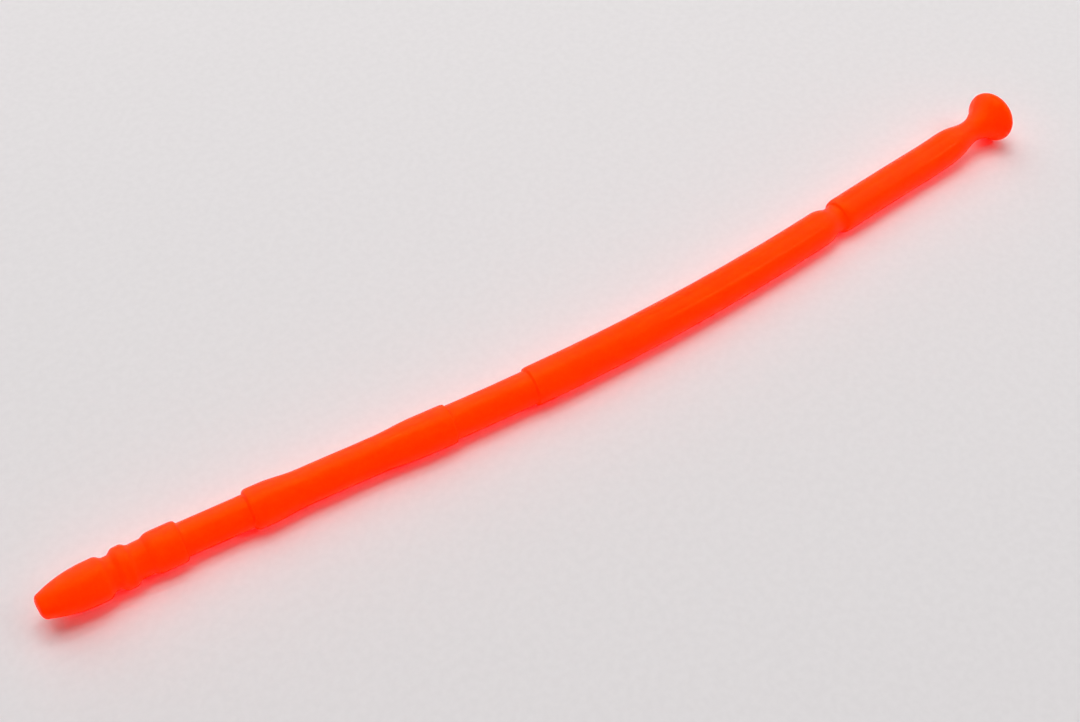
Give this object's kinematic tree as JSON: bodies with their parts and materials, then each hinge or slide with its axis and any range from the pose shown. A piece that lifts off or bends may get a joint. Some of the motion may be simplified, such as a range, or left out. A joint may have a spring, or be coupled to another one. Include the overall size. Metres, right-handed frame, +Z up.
{
  "type": "soft plastic worm",
  "caption": "Soft plastic fishing worm: blunt nose with a ring and collar, slim shanks between thicker body sections, a grooved rear body and a round bulb tail.",
  "frame": {"origin": "centre of the worm's box in plan, on the surface it lies on", "axes": "+X from the nose to the tail bulb along the straight line between their ends, +Y across, +Z up"},
  "size_m": [0.1629, 0.0113, 0.0081],
  "materials": {
    "soft_plastic": "satin, slightly translucent fluorescent orange-red plastisol"
  },
  "bodies": {
    "nose": {"nose": "soft_plastic"},
    "nose_groove": {"nose_groove": "soft_plastic"},
    "ring": {"ring": "soft_plastic"},
    "ring_groove": {"ring_groove": "soft_plastic"},
    "collar": {"collar": "soft_plastic"},
    "front_shank": {"front_shank": "soft_plastic"},
    "fore_front": {"fore_front": "soft_plastic"},
    "fore_waist": {"fore_waist": "soft_plastic"},
    "fore_rear": {"fore_rear": "soft_plastic"},
    "middle_shank": {"middle_shank": "soft_plastic"},
    "main_front": {"main_front": "soft_plastic"},
    "front_bend": {"front_bend": "soft_plastic"},
    "main_middle": {"main_middle": "soft_plastic"},
    "rear_bend": {"rear_bend": "soft_plastic"},
    "main_rear": {"main_rear": "soft_plastic"},
    "rear_groove": {"rear_groove": "soft_plastic"},
    "rear_body": {"rear_body": "soft_plastic"},
    "tail_neck": {"tail_neck": "soft_plastic"},
    "tail_bulb": {"tail_bulb": "soft_plastic"}
  },
  "joints": [
    {"name": "nose_groove_yaw", "type": "hinge", "parent": "ring", "child": "nose_groove", "pos_m": [-0.07125, 0.00203, 0.00307], "axis": [0, 0, -1], "range_deg": [-12, 12], "stiffness_Nm_per_rad": 0.0005, "deforming": ["nose_groove"]},
    {"name": "nose_groove_pitch", "type": "hinge", "parent": "nose_groove", "child": "nose", "pos_m": [-0.072, 0.00202, 0.00313], "axis": [-0.0247, 0.9997, 0], "range_deg": [-12, 12], "stiffness_Nm_per_rad": 0.0005, "deforming": ["nose_groove"]},
    {"name": "ring_groove_yaw", "type": "hinge", "parent": "collar", "child": "ring_groove", "pos_m": [-0.06692, 0.00201, 0.00294], "axis": [0, 0, -1], "range_deg": [-15, 15], "stiffness_Nm_per_rad": 0.0005, "deforming": ["ring_groove"]},
    {"name": "ring_groove_pitch", "type": "hinge", "parent": "ring_groove", "child": "ring", "pos_m": [-0.06822, 0.00204, 0.00295], "axis": [0.0144, 0.9999, 0], "range_deg": [-15, 15], "stiffness_Nm_per_rad": 0.0005, "deforming": ["ring_groove"]},
    {"name": "front_shank_yaw", "type": "hinge", "parent": "fore_front", "child": "front_shank", "pos_m": [-0.05509, 0.0012, 0.00287], "axis": [0, 0, -1], "range_deg": [-30, 30], "stiffness_Nm_per_rad": 0.00026, "deforming": ["front_shank"]},
    {"name": "front_shank_pitch", "type": "hinge", "parent": "front_shank", "child": "collar", "pos_m": [-0.05975, 0.00157, 0.00287], "axis": [0.0785, 0.9969, 0], "range_deg": [-30, 30], "stiffness_Nm_per_rad": 0.00026, "deforming": ["front_shank"]},
    {"name": "fore_waist_yaw", "type": "hinge", "parent": "fore_rear", "child": "fore_waist", "pos_m": [-0.03696, -0.0003, 0.00286], "axis": [0, 0, -1], "range_deg": [-25, 25], "stiffness_Nm_per_rad": 0.00025, "deforming": ["fore_waist"]},
    {"name": "fore_waist_pitch", "type": "hinge", "parent": "fore_waist", "child": "fore_front", "pos_m": [-0.04244, 0.00017, 0.00287], "axis": [0.0832, 0.9965, 0], "range_deg": [-25, 25], "stiffness_Nm_per_rad": 0.00025, "deforming": ["fore_waist"]},
    {"name": "middle_shank_yaw", "type": "hinge", "parent": "main_front", "child": "middle_shank", "pos_m": [-0.01417, -0.00216, 0.00285], "axis": [0, 0, -1], "range_deg": [-35, 35], "stiffness_Nm_per_rad": 0.0002, "deforming": ["middle_shank"]},
    {"name": "middle_shank_pitch", "type": "hinge", "parent": "middle_shank", "child": "fore_rear", "pos_m": [-0.0205, -0.00171, 0.00285], "axis": [0.0795, 0.9968, 0], "range_deg": [-35, 35], "stiffness_Nm_per_rad": 0.0002, "deforming": ["middle_shank"]},
    {"name": "front_bend_yaw", "type": "hinge", "parent": "main_middle", "child": "front_bend", "pos_m": [0.00812, -0.00285, 0.0028], "axis": [0, 0, -1], "range_deg": [-20, 20], "stiffness_Nm_per_rad": 0.00032, "deforming": ["front_bend"]},
    {"name": "front_bend_pitch", "type": "hinge", "parent": "front_bend", "child": "main_front", "pos_m": [0.00537, -0.00284, 0.00281], "axis": [0.0075, 1, 0], "range_deg": [-20, 20], "stiffness_Nm_per_rad": 0.00032, "deforming": ["front_bend"]},
    {"name": "rear_bend_yaw", "type": "hinge", "parent": "main_middle", "child": "rear_bend", "pos_m": [0.02486, -0.00246, 0.00275], "axis": [0, 0, 1], "range_deg": [-20, 20], "stiffness_Nm_per_rad": 0.00029, "deforming": ["rear_bend"]},
    {"name": "rear_bend_pitch", "type": "hinge", "parent": "rear_bend", "child": "main_rear", "pos_m": [0.02761, -0.00232, 0.00274], "axis": [0.0543, -0.9985, 0], "range_deg": [-20, 20], "stiffness_Nm_per_rad": 0.00029, "deforming": ["rear_bend"]},
    {"name": "rear_groove_yaw", "type": "hinge", "parent": "main_rear", "child": "rear_groove", "pos_m": [0.04394, -0.00106, 0.0027], "axis": [0, 0, 1], "range_deg": [-18, 18], "stiffness_Nm_per_rad": 0.0002, "deforming": ["rear_groove"]},
    {"name": "rear_groove_pitch", "type": "hinge", "parent": "rear_groove", "child": "rear_body", "pos_m": [0.04503, -0.00096, 0.0027], "axis": [0.0956, -0.9954, 0], "range_deg": [-18, 18], "stiffness_Nm_per_rad": 0.0002, "deforming": ["rear_groove"]},
    {"name": "tail_neck_yaw", "type": "hinge", "parent": "rear_body", "child": "tail_neck", "pos_m": [0.07348, 0.00112, 0.00359], "axis": [0, 0, 1], "range_deg": [-25, 25], "stiffness_Nm_per_rad": 0.00014, "deforming": ["tail_neck"]},
    {"name": "tail_neck_pitch", "type": "hinge", "parent": "tail_neck", "child": "tail_bulb", "pos_m": [0.07602, 0.00129, 0.00385], "axis": [0.0787, -0.9969, 0], "range_deg": [-25, 25], "stiffness_Nm_per_rad": 0.00014, "deforming": ["tail_neck"]}
  ]
}
